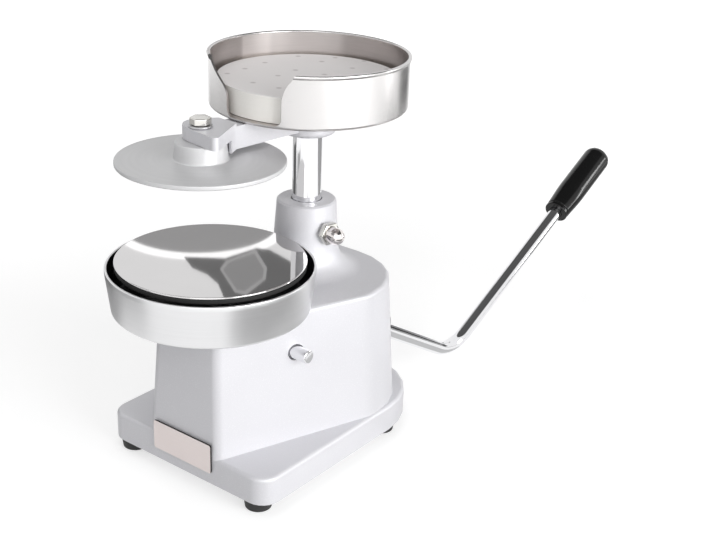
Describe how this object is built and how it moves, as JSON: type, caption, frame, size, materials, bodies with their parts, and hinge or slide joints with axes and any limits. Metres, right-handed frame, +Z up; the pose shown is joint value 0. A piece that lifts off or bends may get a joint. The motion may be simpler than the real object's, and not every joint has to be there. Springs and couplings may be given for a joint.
{
  "type": "burger press",
  "caption": "Bench burger press: a rising bowl round a fixed disc, a swinging press plate and paper tray on a sliding post, and a bent side lever on a cast body.",
  "frame": {"origin": "on the surface it stands on, under the middle of the whole object's box", "axes": "+Z up, +Y towards the end of the lever's grip, -Y towards the bowl, +X towards the lever's side of the body"},
  "size_m": [0.152, 0.5469, 0.285],
  "materials": {
    "casting": "aluminium casting in light silver paint",
    "satin": "satin turned stainless",
    "mirror": "polished stainless",
    "chrome": "bright chrome plate",
    "steel": "plain machined steel",
    "bronze": "oiled bush bronze",
    "grip": "glossy black moulding",
    "rubber": "matt black rubber",
    "paper": "waxed paper discs",
    "label": "bare brushed plate with a faint pink tint"
  },
  "bodies": {
    "root": {"base_casting": "casting", "bottom_cover": "steel", "foot_1": "rubber", "foot_2": "rubber", "foot_3": "rubber", "foot_4": "rubber", "foot_screw_1": "steel", "foot_screw_2": "steel", "foot_screw_3": "steel", "foot_screw_4": "steel", "nameplate": "label", "rocker_pin": "chrome", "shaft_bush_right": "bronze", "shaft_bush_left": "bronze", "neck_bush_upper": "bronze", "neck_bush_lower": "bronze", "clamp_nut": "chrome", "clamp_screw": "chrome", "disc": "mirror", "disc_seal": "rubber", "disc_column": "steel", "column_nut": "steel", "lift_bush_right": "bronze", "lift_bush_left": "bronze"},
    "bowl": {"bowl": "satin", "lift_rod_right": "steel", "lift_rod_left": "steel", "lift_nut_right": "steel", "lift_nut_left": "steel"},
    "rocker": {"rocker": "steel", "link_pin": "steel"},
    "carriage": {"carriage": "steel", "post_retaining_screw": "steel"},
    "turret": {"post": "chrome", "arm": "casting", "arm_screw": "steel", "presser": "satin", "presser_washer": "steel", "presser_bolt": "chrome", "tray": "satin", "tray_screw": "steel"},
    "paper": {"paper_stack": "paper"},
    "lever": {"lever_bar": "chrome", "lever_hub": "steel", "grip": "grip", "grip_collar": "grip", "cross_shaft": "steel", "shaft_collar": "steel", "crank": "steel", "crank_pin": "steel"}
  },
  "joints": [
    {"name": "lever_hinge", "type": "hinge", "parent": "root", "child": "lever", "pos_m": [0, -0.08086, 0.0826], "axis": [1, 0, 0], "range_deg": [0, 75]},
    {"name": "post_slide", "type": "slide", "parent": "root", "child": "carriage", "axis": [0, 0, 1], "range_m": [-0.049, 0]},
    {"name": "rocker_hinge", "type": "hinge", "parent": "root", "child": "rocker", "pos_m": [0, -0.17186, 0.095], "axis": [1, 0, 0], "range_deg": [-42.82, 0]},
    {"name": "bowl_slide", "type": "slide", "parent": "root", "child": "bowl", "axis": [0, 0, 1], "range_m": [0, 0.02166]},
    {"name": "turret_swivel", "type": "hinge", "parent": "carriage", "child": "turret", "pos_m": [0, -0.10286, 0.2], "axis": [0, 0, 1], "range_deg": [-85, 5]},
    {"name": "paper_lift", "type": "slide", "parent": "turret", "child": "paper", "axis": [0, 0, 1], "range_m": [0, 0.05]}
  ],
  "couplings": [
    {"joint": "post_slide", "follows": "lever_hinge", "m_per_rad": -0.037433},
    {"joint": "rocker_hinge", "follows": "lever_hinge", "ratio": -0.57088},
    {"joint": "bowl_slide", "follows": "lever_hinge", "m_per_rad": 0.016547}
  ]
}
